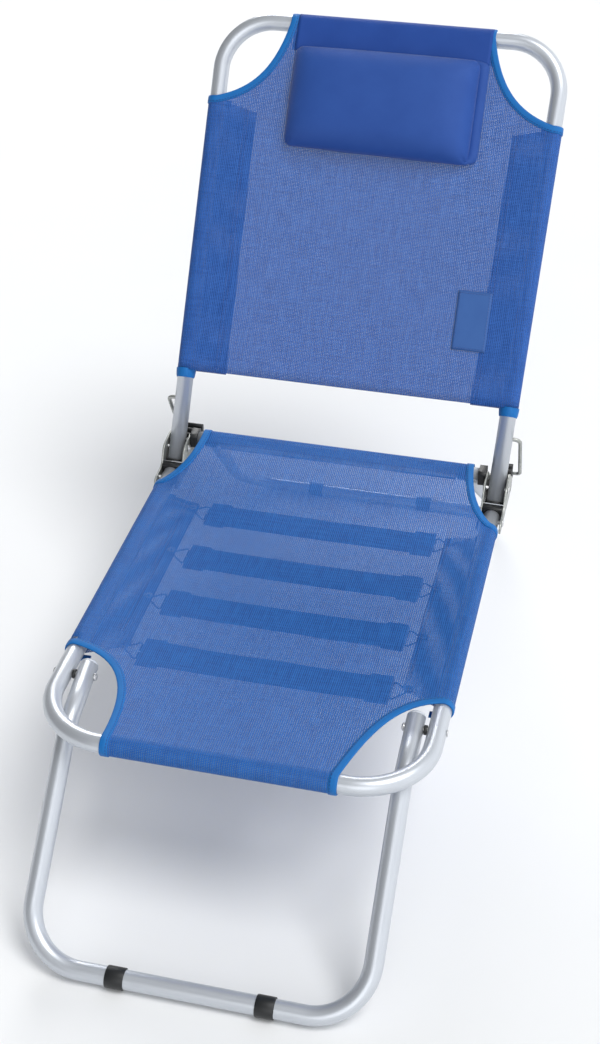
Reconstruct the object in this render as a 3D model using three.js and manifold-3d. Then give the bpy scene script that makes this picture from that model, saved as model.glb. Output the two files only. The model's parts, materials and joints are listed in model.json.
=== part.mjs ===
// Folding beach chair: an aluminium tube frame with two folding legs, a reclining back held by
// wire props in notched racks, mesh slings on the seat and back, elastic seat straps and a pillow.
//
// Millimetres, +Z up, +X to the sitter's left as seen from the front, foot end towards -Y.
// The origin is on the floor, under the middle of the whole chair.
import * as THREE from 'three';
import { mergeVertices } from 'three/addons/utils/BufferGeometryUtils.js';
import Module from 'manifold-3d';

const wasm = await Module();
wasm.setup();

// ---- driving dimensions -------------------------------------------------------------------

const gap = 0.3;                    // air kept between pieces that touch
const tubeRadius = 12.5;            // main aluminium tube
const tubeWall = 1.5;
const plugRadius = 9.8;             // plugs inside the main tube
const railHeight = 246;             // seat rail axis above the floor
const railHalf = 251;               // seat rail axis from the middle of the chair
const frontBarY = -434.9;           // seat front bar axis
const seatCornerRadius = 92;
const railLength = 606;             // front bar axis to the rails' rear ends

const backAngle = 54.3;             // back above the horizontal, in degrees
const backRootY = frontBarY + 626;  // where the back's axis meets the rails' height
const backLength = 707;             // from there to the top bar's axis, along the back
const backSplay = 14;               // extra half width at the top of the back
const backTubeStart = 12;
const backCornerRadius = 78;
const pivotAlong = 32;              // recline pin, along the back
const propAlong = 109;              // upper leg of the wire prop, along the back

const crossbarRadius = 10;
const crossbarY = frontBarY + 664;
const crossbarZ = railHeight + 35;

const frontLegHalf = 221;
const frontPivotY = frontBarY + 120;
const frontFoot = { y: frontBarY - 169, z: 14.2 };
const frontKnee = { y: frontBarY + 47.5, z: railHeight - 20.5 };
const frontStub = { y: frontBarY + 136, z: railHeight + 4.2 };
const rearTubeRadius = 9.5;
const rearFoot = { y: frontBarY + 953, z: 11.2, half: 238 };
const rearTopHalf = 200;
const footBandHalf = 97;

const pillowSize = { width: 304, height: 158, depth: 40 };
const pillowPlace = { x: 6, along: 590.5 };
const labelSize = { width: 52, height: 90, thickness: 0.8 };
const labelPlace = { x: 181, along: 277 };

const clothThickness = 1.6;
const clothOnTube = tubeRadius + 0.6 + clothThickness / 2;   // cloth's mid surface round a main tube
const hubRadius = 12.2;             // rear leg's hubs, inside the sling's sleeve on the crossbar
const clothOnCrossbar = hubRadius + gap + clothThickness / 2;
const flapInner = 190;              // inner edge of the sleeves' inward flaps
const eyeletHalf = 198;
const strapYs = [208, 320, 432, 544].map((along) => frontBarY + along);
const strapWidth = 50;
const strapHalf = 174;
const strapZ = railHeight - 21;

const plateInner = 15.2;            // hinge plates' inner faces, either side of a rail's axis
const plateThickness = 2.5;
const plateOuter = plateInner + plateThickness;
const pinRadius = 3.5;
const wireRadius = 3;
const propReach = 26;               // prop's outer run, outside a rail's axis
const propSeat = { y: frontBarY + 741, z: railHeight - 6 };

// ---- materials ----------------------------------------------------------------------------

const paint = (color, roughness, metalness) =>
  new THREE.MeshStandardMaterial({ color, roughness, metalness });
const aluminium = paint(0xc9ced6, 0.38, 0.9);
const steel = paint(0x9ba19f, 0.45, 0.85);
const brightSteel = paint(0xc4c6c4, 0.3, 0.9);
const blackPlastic = paint(0x23262a, 0.55, 0);
const greyPlastic = paint(0xb9bcc0, 0.5, 0);
const blueMesh = paint(0x4669b4, 0.85, 0);
const bluePad = paint(0x3557a0, 0.9, 0);
const elastic = paint(0x2c3566, 0.9, 0);
const labelBlue = paint(0x4a6bac, 0.9, 0);

// ---- paths and sections -------------------------------------------------------------------

const vec = (x, y, z) => new THREE.Vector3(x, y, z);

// A polyline with rounded corners. Its steps fall on the straights' ends and round the bends,
// so that a straight stretch takes one step whatever its length.
class BentPath extends THREE.Curve {
  constructor(corners, radii, degreesPerStep = 12) {
    super();
    this.points = [];
    this.tangents = [];
    const last = corners.length - 1;
    this.add(corners[0], corners[1].clone().sub(corners[0]).normalize());
    for (let i = 1; i < last; i += 1) {
      this.bend(corners[i - 1], corners[i], corners[i + 1], radii[i - 1], degreesPerStep);
    }
    this.add(corners[last], corners[last].clone().sub(corners[last - 1]).normalize());
  }

  add(point, tangent) {
    this.points.push(point.clone());
    this.tangents.push(tangent.clone());
  }

  bend(before, corner, after, radius, degreesPerStep) {
    const into = corner.clone().sub(before).normalize();
    const out = after.clone().sub(corner).normalize();
    const turn = into.angleTo(out);
    const steps = Math.ceil(THREE.MathUtils.radToDeg(turn) / degreesPerStep);
    const start = corner.clone().addScaledVector(into, -radius * Math.tan(turn / 2));
    const inward = out.clone().addScaledVector(into, -into.dot(out)).normalize();
    for (let i = 0; i <= steps; i += 1) {
      const angle = (turn * i) / steps;
      const point = start.clone().addScaledVector(into, radius * Math.sin(angle));
      point.addScaledVector(inward, radius * (1 - Math.cos(angle)));
      const tangent = into.clone().multiplyScalar(Math.cos(angle)).addScaledVector(inward, Math.sin(angle));
      this.add(point, tangent);
    }
  }

  get steps() {
    return this.points.length - 1;
  }

  getUtoTmapping(u) {
    return u;
  }

  getPoint(t, target = new THREE.Vector3()) {
    const place = t * this.steps;
    const index = Math.min(Math.floor(place + 1e-6), this.steps - 1);
    return target.lerpVectors(this.points[index], this.points[index + 1], place - index);
  }

  getTangent(t, target = new THREE.Vector3()) {
    const place = t * this.steps;
    const index = Math.min(Math.floor(place + 1e-6), this.steps - 1);
    return target.lerpVectors(this.tangents[index], this.tangents[index + 1], place - index).normalize();
  }
}

const circlePoints = (radius, sides) => {
  const points = [];
  for (let i = 0; i < sides; i += 1) {
    const angle = (2 * Math.PI * i) / sides;
    points.push(new THREE.Vector2(radius * Math.cos(angle), radius * Math.sin(angle)));
  }
  return points;
};

const arcPoints = (x, y, radius, fromDegrees, toDegrees, steps) => {
  const points = [];
  for (let i = 0; i <= steps; i += 1) {
    const angle = THREE.MathUtils.degToRad(fromDegrees + ((toDegrees - fromDegrees) * i) / steps);
    points.push(new THREE.Vector2(x + radius * Math.cos(angle), y + radius * Math.sin(angle)));
  }
  return points;
};

// Sweeps a round bar, or a tube when a wall is given, along a path.
const sweep = (path, radius, wall = 0, sides = 16) => {
  const section = new THREE.Shape(circlePoints(radius, sides));
  if (wall > 0) {
    section.holes.push(new THREE.Path(circlePoints(radius - wall, sides / 2).reverse()));
  }
  return new THREE.ExtrudeGeometry(section, { steps: path.steps, extrudePath: path });
};

// A closed outline that follows a line of points at half a thickness to either side.
const strip = (points, thickness) => {
  const left = [];
  const right = [];
  points.forEach((point, i) => {
    const before = points[Math.max(i - 1, 0)];
    const after = points[Math.min(i + 1, points.length - 1)];
    const side = new THREE.Vector2(before.y - after.y, after.x - before.x).normalize();
    left.push(point.clone().addScaledVector(side, thickness / 2));
    right.push(point.clone().addScaledVector(side, -thickness / 2));
  });
  return new THREE.Shape([...left, ...right.reverse()]);
};

const flat = (shape, thickness, curveSegments = 8) =>
  new THREE.ExtrudeGeometry(shape, { depth: thickness, bevelEnabled: false, curveSegments });

// Turns a geometry drawn in (y, z) and extruded along its own z into one extruded along +X.
const alongX = (geometry, fromX) => {
  geometry.applyMatrix4(new THREE.Matrix4().set(0, 0, 1, fromX, 1, 0, 0, 0, 0, 1, 0, 0, 0, 0, 0, 1));
  return geometry;
};

// Turns a geometry drawn in (x, z) and extruded along its own z into one extruded along +Y.
const alongY = (geometry, fromY, length) => {
  const turn = new THREE.Matrix4().set(1, 0, 0, 0, 0, 0, -1, fromY + length, 0, 1, 0, 0, 0, 0, 0, 1);
  geometry.applyMatrix4(turn);
  return geometry;
};

const rod = (radius, fromX, toX, y, z, sides = 16) => {
  const geometry = new THREE.CylinderGeometry(radius, radius, toX - fromX, sides);
  geometry.rotateZ(Math.PI / 2);
  geometry.translate((fromX + toX) / 2, y, z);
  return geometry;
};

// Turns a closed or axis-to-axis profile of (radius, along) pairs about the X axis through y, z.
const turned = (profile, x, y, z, sides = 20) => {
  const geometry = new THREE.LatheGeometry(profile.map(([r, along]) => new THREE.Vector2(r, along)), sides);
  geometry.rotateZ(-Math.PI / 2);
  geometry.translate(x, y, z);
  return geometry;
};

// ---- joins and cuts -----------------------------------------------------------------------

const toSolid = (geometry) => {
  const bare = new THREE.BufferGeometry();
  bare.setAttribute('position', geometry.getAttribute('position').clone());
  if (geometry.index) {
    bare.setIndex(geometry.index.clone());
  }
  const merged = mergeVertices(bare, 1e-4);
  return new wasm.Manifold(new wasm.Mesh({
    numProp: 3,
    vertProperties: new Float32Array(merged.getAttribute('position').array),
    triVerts: new Uint32Array(merged.index.array),
  }));
};

const toGeometry = (solid) => {
  const mesh = solid.getMesh();
  const geometry = new THREE.BufferGeometry();
  geometry.setAttribute('position', new THREE.BufferAttribute(new Float32Array(mesh.vertProperties), 3));
  geometry.setIndex(new THREE.BufferAttribute(new Uint32Array(mesh.triVerts), 1));
  return geometry;
};

const cut = (geometry, tools) =>
  toGeometry(tools.reduce((solid, tool) => solid.subtract(toSolid(tool)), toSolid(geometry)));

const join = (geometries) =>
  toGeometry(geometries.slice(1).reduce((solid, next) => solid.add(toSolid(next)), toSolid(geometries[0])));

// ---- the scene graph ----------------------------------------------------------------------

const chair = new THREE.Group();
const back = new THREE.Group();     // the back's own frame: +Y up along it, +Z out towards the sitter
back.position.set(0, backRootY, railHeight);
back.rotation.x = THREE.MathUtils.degToRad(backAngle);
chair.add(back);

const place = (name, geometry, material, parent = chair) => {
  const mesh = new THREE.Mesh(geometry, material);
  mesh.name = name;
  parent.add(mesh);
  return mesh;
};

const sides = [['left', -1], ['right', 1]];

// Turns a point of the back's own frame into the chair's frame.
const onBack = (x, along, out) => {
  back.updateMatrix();
  return vec(x, along, out).applyMatrix4(back.matrix);
};

const recline = onBack(0, pivotAlong, 0);
const propTop = onBack(0, propAlong, 0);
const backHalfAt = (along) => railHalf + (backSplay * along) / backLength;

// ---- seat frame ---------------------------------------------------------------------------

const railRivetY = frontBarY + railLength - 12;

const seatFrame = () => {
  const corners = [
    vec(-railHalf, frontBarY + railLength, railHeight),
    vec(-railHalf, frontBarY, railHeight),
    vec(railHalf, frontBarY, railHeight),
    vec(railHalf, frontBarY + railLength, railHeight),
  ];
  const tube = sweep(new BentPath(corners, [seatCornerRadius, seatCornerRadius]), tubeRadius, tubeWall);
  const reach = railHalf + 20;
  const holes = [railRivetY, frontPivotY].flatMap((y) => sides.map(([, side]) => {
    const ends = [side * (railHalf - 20), side * reach].sort((a, b) => a - b);
    return rod(pinRadius + gap, ends[0], ends[1], y, railHeight);
  }));
  return cut(tube, holes);
};

place('seat_frame', seatFrame(), aluminium);

// A plug in each rail's rear end: a body inside the tube and a block behind it that fills the
// space between the plates, up to the sweep of the back's shoe.
const railPlug = (side) => {
  const end = frontBarY + railLength;
  const body = new THREE.CylinderGeometry(plugRadius, plugRadius, 32, 20);
  body.translate(side * railHalf, end - 12, railHeight);
  const front = end + gap;
  const rear = end + 12.4;
  const bottom = railHeight - tubeRadius;
  const top = railHeight + 15.6;
  const outline = new THREE.Shape();
  outline.moveTo(front, bottom);
  outline.lineTo(rear - 6, bottom);
  outline.quadraticCurveTo(rear, bottom, rear, bottom + 6);
  outline.lineTo(rear, top - 1);
  outline.lineTo(rear - 1, top);
  outline.lineTo(front + 3, top);
  outline.quadraticCurveTo(front, top, front, top - 3);
  outline.closePath();
  const half = plateInner - gap;
  const block = alongX(flat(outline, 2 * half, 5), side * railHalf - half);
  const hole = rod(pinRadius + gap, side * railHalf - 20, side * railHalf + 20, railRivetY, railHeight);
  return cut(join([block, body]), [hole]);
};

// ---- hinge plates -------------------------------------------------------------------------

const plateOutline = () => {
  const y0 = frontBarY;
  const z0 = railHeight;
  const outline = new THREE.Shape();
  outline.moveTo(y0 + 582, z0 - 10);
  outline.lineTo(y0 + 700, z0 - 10);
  outline.quadraticCurveTo(y0 + 707, z0 - 10, y0 + 707, z0 - 3);
  outline.lineTo(y0 + 707, z0 + 5);
  outline.quadraticCurveTo(y0 + 705, z0 + 15, y0 + 695, z0 + 17);
  outline.quadraticCurveTo(y0 + 681, z0 + 21, y0 + 675, z0 + 32);
  outline.quadraticCurveTo(y0 + 670, z0 + 42, y0 + 658, z0 + 42);
  outline.lineTo(y0 + 638, z0 + 40);
  outline.quadraticCurveTo(y0 + 624, z0 + 39, y0 + 620, z0 + 29);
  outline.lineTo(y0 + 614, z0 + 17);
  outline.quadraticCurveTo(y0 + 610, z0 + 11, y0 + 598, z0 + 10);
  outline.lineTo(y0 + 582, z0 + 9);
  outline.quadraticCurveTo(y0 + 574, z0 + 8, y0 + 573, z0);
  outline.quadraticCurveTo(y0 + 574, z0 - 9, y0 + 582, z0 - 10);
  return outline;
};

const rackPegs = [[frontBarY + 684, railHeight - 1], [frontBarY + 698, railHeight - 1]];
const pegRadius = 2.5;

const hingePlate = (fromX) => {
  const outline = plateOutline();
  const holes = [[railRivetY, railHeight, pinRadius], [recline.y, recline.z, pinRadius]];
  rackPegs.forEach(([y, z]) => holes.push([y, z, pegRadius]));
  holes.forEach(([y, z, radius]) => {
    const hole = new THREE.Path();
    hole.absarc(y, z, radius + gap, 0, 2 * Math.PI, true);
    outline.holes.push(hole);
  });
  return alongX(flat(outline, plateThickness, 6), fromX);
};

// A headed pin through both plates of one side.
const platePin = (side, y, z, headRadius) => {
  const half = plateOuter + gap;
  const head = 2.2;
  const profile = [
    [0, -half - head], [headRadius * 0.6, -half - head], [headRadius, -half - head / 2], [headRadius, -half],
    [pinRadius, -half], [pinRadius, half], [headRadius, half], [headRadius, half + head / 2],
    [headRadius * 0.6, half + head], [0, half + head],
  ];
  return turned(profile, side * railHalf, y, z, 16);
};

// ---- prop racks ---------------------------------------------------------------------------

// The notched block behind a hinge. Its rearmost notch holds the prop at the lowest recline.
const rack = (side) => {
  const floor = propSeat.z - wireRadius - 0.6;
  const slot = wireRadius + 0.5;
  const top = railHeight + 15;
  const bottom = railHeight - 16;
  const pitch = 15;
  const outline = new THREE.Shape();
  outline.moveTo(frontBarY + 679, bottom + 4);
  outline.quadraticCurveTo(frontBarY + 679, bottom, frontBarY + 683, bottom);
  outline.lineTo(propSeat.y + 7, bottom);
  outline.quadraticCurveTo(propSeat.y + 10, bottom, propSeat.y + 10, bottom + 3);
  outline.lineTo(propSeat.y + 8, floor + 1.6);
  outline.quadraticCurveTo(propSeat.y + 6, floor + 2.4, propSeat.y + slot + 0.9, floor + 1.8);
  outline.quadraticCurveTo(propSeat.y + slot, floor, propSeat.y, floor);
  for (let notch = 0; notch < 4; notch += 1) {
    const y = propSeat.y - notch * pitch;
    const toothWidth = pitch - 2 * slot;
    outline.quadraticCurveTo(y - slot, floor, y - slot, floor + slot);
    if (notch === 3) {
      break;
    }
    outline.lineTo(y - slot, top - toothWidth / 2);
    outline.absarc(y - slot - toothWidth / 2, top - toothWidth / 2, toothWidth / 2, 0, Math.PI, false);
    outline.lineTo(y - pitch + slot, floor + slot);
    outline.quadraticCurveTo(y - pitch + slot, floor, y - pitch, floor);
  }
  const frontTooth = propSeat.y - 3 * pitch - slot;
  outline.lineTo(frontTooth, top - 4);
  outline.quadraticCurveTo(frontTooth, top, frontTooth - 4, top);
  outline.lineTo(frontBarY + 683, top);
  outline.quadraticCurveTo(frontBarY + 679, top, frontBarY + 679, top - 4);
  const half = plateInner - gap;
  const block = alongX(flat(outline, 2 * half, 4), side * railHalf - half);
  const pegs = rackPegs.map(([y, z]) =>
    rod(pegRadius, side * railHalf - plateOuter, side * railHalf + plateOuter, y, z, 12));
  return join([block, ...pegs]);
};

// ---- crossbar under the sling's rear edge --------------------------------------------------

const collarOuterX = railHalf - plateOuter - gap;
const collarInnerX = collarOuterX - 11.5;
const collarHalf = 13;

const crossbar = () => {
  const end = collarOuterX - 2;
  const path = new BentPath([vec(-end, crossbarY, crossbarZ), vec(end, crossbarY, crossbarZ)], []);
  return sweep(path, crossbarRadius, 1.2);
};

place('crossbar', crossbar(), aluminium);

// A black block with rounded corners closes each end of the crossbar against the inner plate.
const crossbarCollar = (side) => {
  const corner = 5;
  const straight = collarHalf - corner;
  const upper = straight - 1.5;
  const outline = new THREE.Shape();
  outline.absarc(crossbarY + straight, crossbarZ + upper, corner, 0, Math.PI / 2, false);
  outline.absarc(crossbarY - straight, crossbarZ + upper, corner, Math.PI / 2, Math.PI, false);
  outline.absarc(crossbarY - straight, crossbarZ - straight, corner, Math.PI, 1.5 * Math.PI, false);
  outline.absarc(crossbarY + straight, crossbarZ - straight, corner, 1.5 * Math.PI, 2 * Math.PI, false);
  outline.closePath();
  const length = collarOuterX - collarInnerX;
  const block = alongX(flat(outline, length, 4), side > 0 ? collarInnerX : -collarOuterX);
  const socketEnds = [side * (collarInnerX - 5), side * (collarOuterX - 2 + gap)].sort((a, b) => a - b);
  return cut(block, [rod(crossbarRadius + gap, socketEnds[0], socketEnds[1], crossbarY, crossbarZ, 24)]);
};

// ---- front leg ----------------------------------------------------------------------------

const frontLeg = () => {
  const half = (side) => [
    vec(side * frontLegHalf, frontStub.y, frontStub.z),
    vec(side * frontLegHalf, frontKnee.y, frontKnee.z),
    vec(side * frontLegHalf, frontFoot.y, frontFoot.z),
  ];
  const path = new BentPath([...half(-1), ...half(1).reverse()], [60, 75, 75, 60]);
  const tube = sweep(path, tubeRadius, tubeWall);
  const holes = sides.map(([, side]) =>
    rod(pinRadius + gap, side * frontLegHalf - 20, side * frontLegHalf + 20, frontPivotY, railHeight));
  return cut(tube, holes);
};

place('front_leg', frontLeg(), aluminium);

const stubDirection = vec(0, frontStub.y - frontKnee.y, frontStub.z - frontKnee.z).normalize();

// A rounded grey plug closes each upper end of the front leg.
const legPlug = (side) => {
  const inside = plugRadius;
  const profile = [
    [0, -9], [inside, -9], [inside, gap], [12.4, gap], [12, 2.5], [10.3, 4.6], [7, 6.3], [3.5, 7.1], [0, 7.3],
  ];
  const plug = new THREE.LatheGeometry(profile.map(([r, along]) => new THREE.Vector2(r, along)), 20);
  plug.applyQuaternion(new THREE.Quaternion().setFromUnitVectors(vec(0, 1, 0), stubDirection));
  plug.translate(side * frontLegHalf, frontStub.y, frontStub.z);
  return plug;
};

// The rivet that joins a front leg to its rail, and the black spacer between them.
const legRivet = (side) => {
  const inner = frontLegHalf - tubeRadius - gap;
  const outer = railHalf + tubeRadius + gap;
  const head = 3;
  const profile = [
    [0, inner - head], [3.5, inner - head], [5.5, inner - head / 2], [5.5, inner], [pinRadius, inner],
    [pinRadius, outer], [5, outer], [4.4, outer + 1], [0, outer + 1.3],
  ];
  const ring = profile.map(([r, x]) => [r, side * x]);
  return turned(side > 0 ? ring : ring.reverse(), 0, frontPivotY, railHeight, 16);
};

const legSpacer = (side) => {
  const inner = frontLegHalf + tubeRadius + gap;
  const outer = railHalf - tubeRadius - gap;
  const bore = pinRadius + gap;
  const profile = [[bore, inner], [6.5, inner], [6.5, outer], [bore, outer], [bore, inner]];
  const ring = profile.map(([r, x]) => [r, side * x]);
  return turned(side > 0 ? ring : ring.reverse(), 0, frontPivotY, railHeight, 16);
};

// A plastic band round a foot bar, worn flat where it meets the floor.
const footBand = (side, foot, barRadius) => {
  const half = 12.2;
  const inner = barRadius + gap;
  const outer = foot.z + 0.4;
  const profile = [
    [inner, -half], [outer - 0.6, -half], [outer, -half + 1], [outer, half - 1],
    [outer - 0.6, half], [inner, half], [inner, -half],
  ];
  const floor = new THREE.BoxGeometry(60, 60, 20);
  floor.translate(side * footBandHalf, foot.y, -10);
  return cut(turned(profile, side * footBandHalf, foot.y, foot.z, 18), [floor]);
};

// ---- rear leg -----------------------------------------------------------------------------

const rearTop = (side) => vec(side * rearTopHalf, crossbarY, crossbarZ);
const rearCorner = (side) => vec(side * rearFoot.half, rearFoot.y, rearFoot.z);
const rearDirection = (side) => rearCorner(side).sub(rearTop(side)).normalize();
const rearTubeStart = 17;

const rearLeg = () => {
  const start = (side) => rearTop(side).addScaledVector(rearDirection(side), rearTubeStart);
  const path = new BentPath([start(-1), rearCorner(-1), rearCorner(1), start(1)], [62, 62]);
  return sweep(path, rearTubeRadius, 1.2);
};

place('rear_leg', rearLeg(), aluminium);

// The hub that turns on the crossbar, with the spigot that fills the leg's upper end.
const rearHub = (side) => {
  const ring = rod(hubRadius, side * rearTopHalf - 9, side * rearTopHalf + 9, crossbarY, crossbarZ, 20);
  const spigot = new THREE.CylinderGeometry(7.5, 7.5, 34, 16);
  spigot.translate(0, 17, 0);
  const shoulder = new THREE.CylinderGeometry(rearTubeRadius, rearTubeRadius, rearTubeStart - gap, 16);
  shoulder.translate(0, (rearTubeStart - gap) / 2, 0);
  [spigot, shoulder].forEach((part) => {
    part.applyQuaternion(new THREE.Quaternion().setFromUnitVectors(vec(0, 1, 0), rearDirection(side)));
    part.translate(...rearTop(side).toArray());
  });
  const middle = side * rearTopHalf;
  const bore = rod(crossbarRadius + gap, middle - 20, middle + 20, crossbarY, crossbarZ, 20);
  return cut(join([ring, shoulder, spigot]), [bore]);
};

// ---- back frame ---------------------------------------------------------------------------

const backFrame = () => {
  const corners = [
    vec(-backHalfAt(backTubeStart), backTubeStart, 0),
    vec(-backHalfAt(backLength), backLength, 0),
    vec(backHalfAt(backLength), backLength, 0),
    vec(backHalfAt(backTubeStart), backTubeStart, 0),
  ];
  const tube = sweep(new BentPath(corners, [backCornerRadius, backCornerRadius]), tubeRadius, tubeWall);
  const holes = sides.flatMap(([, side]) => {
    const x = side * railHalf;
    const propHole = [x + side * 2, x + side * 20].sort((a, b) => a - b);
    return [
      rod(pinRadius + gap, x - 20, x + 20, pivotAlong, 0),
      rod(wireRadius + gap, propHole[0], propHole[1], propAlong, 0),
    ];
  });
  return cut(tube, holes);
};

place('back_frame', backFrame(), aluminium, back);

// A black shoe cups the lower end of a back tube, open on the side that faces the sitter.
const backShoe = (side) => {
  const outer = plateInner - gap;
  const inner = tubeRadius + gap;
  const bottom = backTubeStart - 3;
  const top = 44;
  const seat = backTubeStart - gap;
  const profile = [[0, bottom], [outer, bottom], [outer, top], [inner, top], [inner, seat], [0, seat]];
  const cup = new THREE.LatheGeometry(profile.map(([r, along]) => new THREE.Vector2(r, along)), 24);
  cup.rotateZ(-Math.atan2(side * backSplay, backLength));
  cup.translate(side * railHalf, 0, 0);
  const front = new THREE.BoxGeometry(60, 60, 30);
  front.translate(side * railHalf, backTubeStart + 30, 15 + 3);
  const besidePlates = sides.map(([, flank]) => {
    const slab = new THREE.BoxGeometry(10, 80, 40);
    slab.translate(side * railHalf + flank * (outer + 5), 30, 0);
    return slab;
  });
  const hole = rod(pinRadius + gap, side * railHalf - 20, side * railHalf + 20, pivotAlong, 0);
  return cut(cup, [front, hole, ...besidePlates]);
};

// ---- wire props ---------------------------------------------------------------------------

// A bent wire: its upper leg turns in the back tube and its lower leg lies across a rack's notch.
const wireProp = (side) => {
  const outerX = side * (railHalf + propReach);
  const corners = [
    vec(side * (railHalf + 3), propTop.y, propTop.z),
    vec(outerX, propTop.y, propTop.z),
    vec(outerX, propSeat.y, propSeat.z),
    vec(side * (railHalf - plateOuter), propSeat.y, propSeat.z),
  ];
  return sweep(new BentPath(corners, [9, 6], 22), wireRadius, 0, 10);
};

// ---- slings -------------------------------------------------------------------------------

// The section across a sling: a flat panel on the tubes, a sleeve round each, and a flap inwards.
const sleeveSection = () => {
  const points = [
    new THREE.Vector2(flapInner, -clothOnTube),
    ...arcPoints(railHalf, 0, clothOnTube, -90, 90, 12),
    ...arcPoints(-railHalf, 0, clothOnTube, 90, 270, 12),
    new THREE.Vector2(-flapInner, -clothOnTube),
  ];
  return strip(points, clothThickness);
};

// A tool that takes one corner off a sling, inside a curve drawn in plan on its right-hand side.
const cornerTool = (side, curve, far) => {
  const outline = new THREE.Shape();
  const [start, c1, c2, end] = curve;
  const wide = 330;
  outline.moveTo(side * wide, start[1]);
  outline.lineTo(side * start[0], start[1]);
  outline.bezierCurveTo(side * c1[0], c1[1], side * c2[0], c2[1], side * end[0], end[1]);
  outline.lineTo(side * end[0], far);
  outline.lineTo(side * wide, far);
  outline.closePath();
  const tool = flat(outline, 200, 12);
  tool.translate(0, 0, -100);
  return tool;
};

// The seat sling: round both rails, the front bar and, higher up, the crossbar.
const seatSling = () => {
  const length = crossbarY - frontBarY;
  const cross = alongY(flat(sleeveSection(), 542), 20, 542);
  const lift = crossbarZ - railHeight;
  const riseStart = new THREE.Vector2(556, clothOnTube);
  const toBar = new THREE.Vector2(length, lift).sub(riseStart);
  const rise = THREE.MathUtils.radToDeg(toBar.angle() + Math.asin(clothOnCrossbar / toBar.length()));
  const hemEnd = new THREE.Vector2(length - 22, lift - clothOnCrossbar + 1);
  const lengthwise = strip([
    new THREE.Vector2(30, -clothOnTube),
    ...arcPoints(0, 0, clothOnTube, -90, -270, 12),
    riseStart,
    ...arcPoints(length, lift, clothOnCrossbar, 90 + rise, -82, 12),
    hemEnd,
  ], clothThickness);
  const panel = alongX(flat(lengthwise, 2 * 250), -250);
  const frontCurve = [[268, 163], [190, 158], [156, 110], [149, -5]];
  const rearCurve = [[268, 560], [228, 575], [212, 625], [211, 690]];
  const corners = sides.flatMap(([, side]) => [
    cornerTool(side, frontCurve, -60),
    cornerTool(side, rearCurve, 760),
  ]);
  const legSlots = sides.flatMap(([, side]) => {
    const behind = new THREE.BoxGeometry(40, 40, 80);
    behind.translate(side * (rearTopHalf + 4), length + 20, lift - 40 + 3);
    const below = new THREE.BoxGeometry(40, 44, 80);
    below.translate(side * (rearTopHalf + 4), length - 21.5, lift - 40 - 7);
    return [behind, below];
  });
  const foldRelief = sides.map(([, side]) => {
    const box = new THREE.BoxGeometry(60, 160, 30);
    box.translate(side * (frontLegHalf - 15), 98, -15);
    return box;
  });
  const eyeletHoles = sides.flatMap(([, side]) => strapYs.map((y) => {
    const hole = new THREE.CylinderGeometry(4.6, 4.6, 8, 10);
    hole.rotateX(Math.PI / 2);
    hole.translate(side * eyeletHalf, y - frontBarY, -clothOnTube);
    return hole;
  }));
  const sling = cut(join([cross, panel]), [...corners, ...legSlots, ...foldRelief, ...eyeletHoles]);
  sling.translate(0, frontBarY, railHeight);
  return sling;
};

place('seat_sling', seatSling(), blueMesh);

// The back sling: round both back tubes and the top bar, with a free lower edge.
const backSling = () => {
  const from = 154;
  const cross = alongY(flat(sleeveSection(), 516), from, 516);
  const lengthwise = strip([
    new THREE.Vector2(backLength - 60, clothOnTube),
    ...arcPoints(backLength, 0, clothOnTube, 90, -90, 12),
    new THREE.Vector2(backLength - 36, -clothOnTube),
  ], clothThickness);
  const panel = alongX(flat(lengthwise, 2 * 170), -170);
  const position = cross.getAttribute('position');
  for (let i = 0; i < position.count; i += 1) {
    const spread = (backSplay * position.getY(i)) / backLength;
    position.setX(i, position.getX(i) + Math.sign(position.getX(i)) * spread);
  }
  const topCurve = [[280, 578], [200, 592], [170, 640], [155, 722]];
  const corners = sides.map(([, side]) => cornerTool(side, topCurve, 790));
  return cut(join([cross, panel]), corners);
};

place('back_sling', backSling(), blueMesh, back);

// ---- pillow -------------------------------------------------------------------------------

const onCloth = clothOnTube + clothThickness / 2 + gap;      // what lies on the back's cloth starts here

const pillow = () => {
  const bevel = 12;
  const x = pillowSize.width / 2 - bevel;
  const y = pillowSize.height / 2 - bevel;
  const outline = new THREE.Shape();
  outline.moveTo(-x, -y + 12);
  outline.quadraticCurveTo(-x, -y, -x + 12, -y);
  outline.lineTo(x - 12, -y);
  outline.quadraticCurveTo(x, -y, x, -y + 12);
  outline.lineTo(x, y - 12);
  outline.quadraticCurveTo(x, y, x - 12, y);
  outline.lineTo(-x + 12, y);
  outline.quadraticCurveTo(-x, y, -x, y - 12);
  outline.closePath();
  const pad = new THREE.ExtrudeGeometry(outline, {
    depth: pillowSize.depth - 2 * bevel,
    bevelThickness: bevel,
    bevelSize: bevel,
    bevelSegments: 4,
    curveSegments: 4,
  });
  pad.translate(pillowPlace.x, pillowPlace.along, onCloth + bevel);
  return pad;
};

place('pillow', pillow(), bluePad, back);

// ---- blank label on the back's lower right -------------------------------------------------

const label = () => {
  const patch = new THREE.BoxGeometry(labelSize.width, labelSize.height, labelSize.thickness);
  patch.translate(labelPlace.x, labelPlace.along, onCloth + labelSize.thickness / 2);
  return patch;
};

place('label', label(), labelBlue, back);

// ---- straps, hooks and eyelets ------------------------------------------------------------

const strap = (y) => {
  const band = new THREE.BoxGeometry(2 * strapHalf, strapWidth, 2);
  band.translate(0, y, strapZ);
  return band;
};

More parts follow.
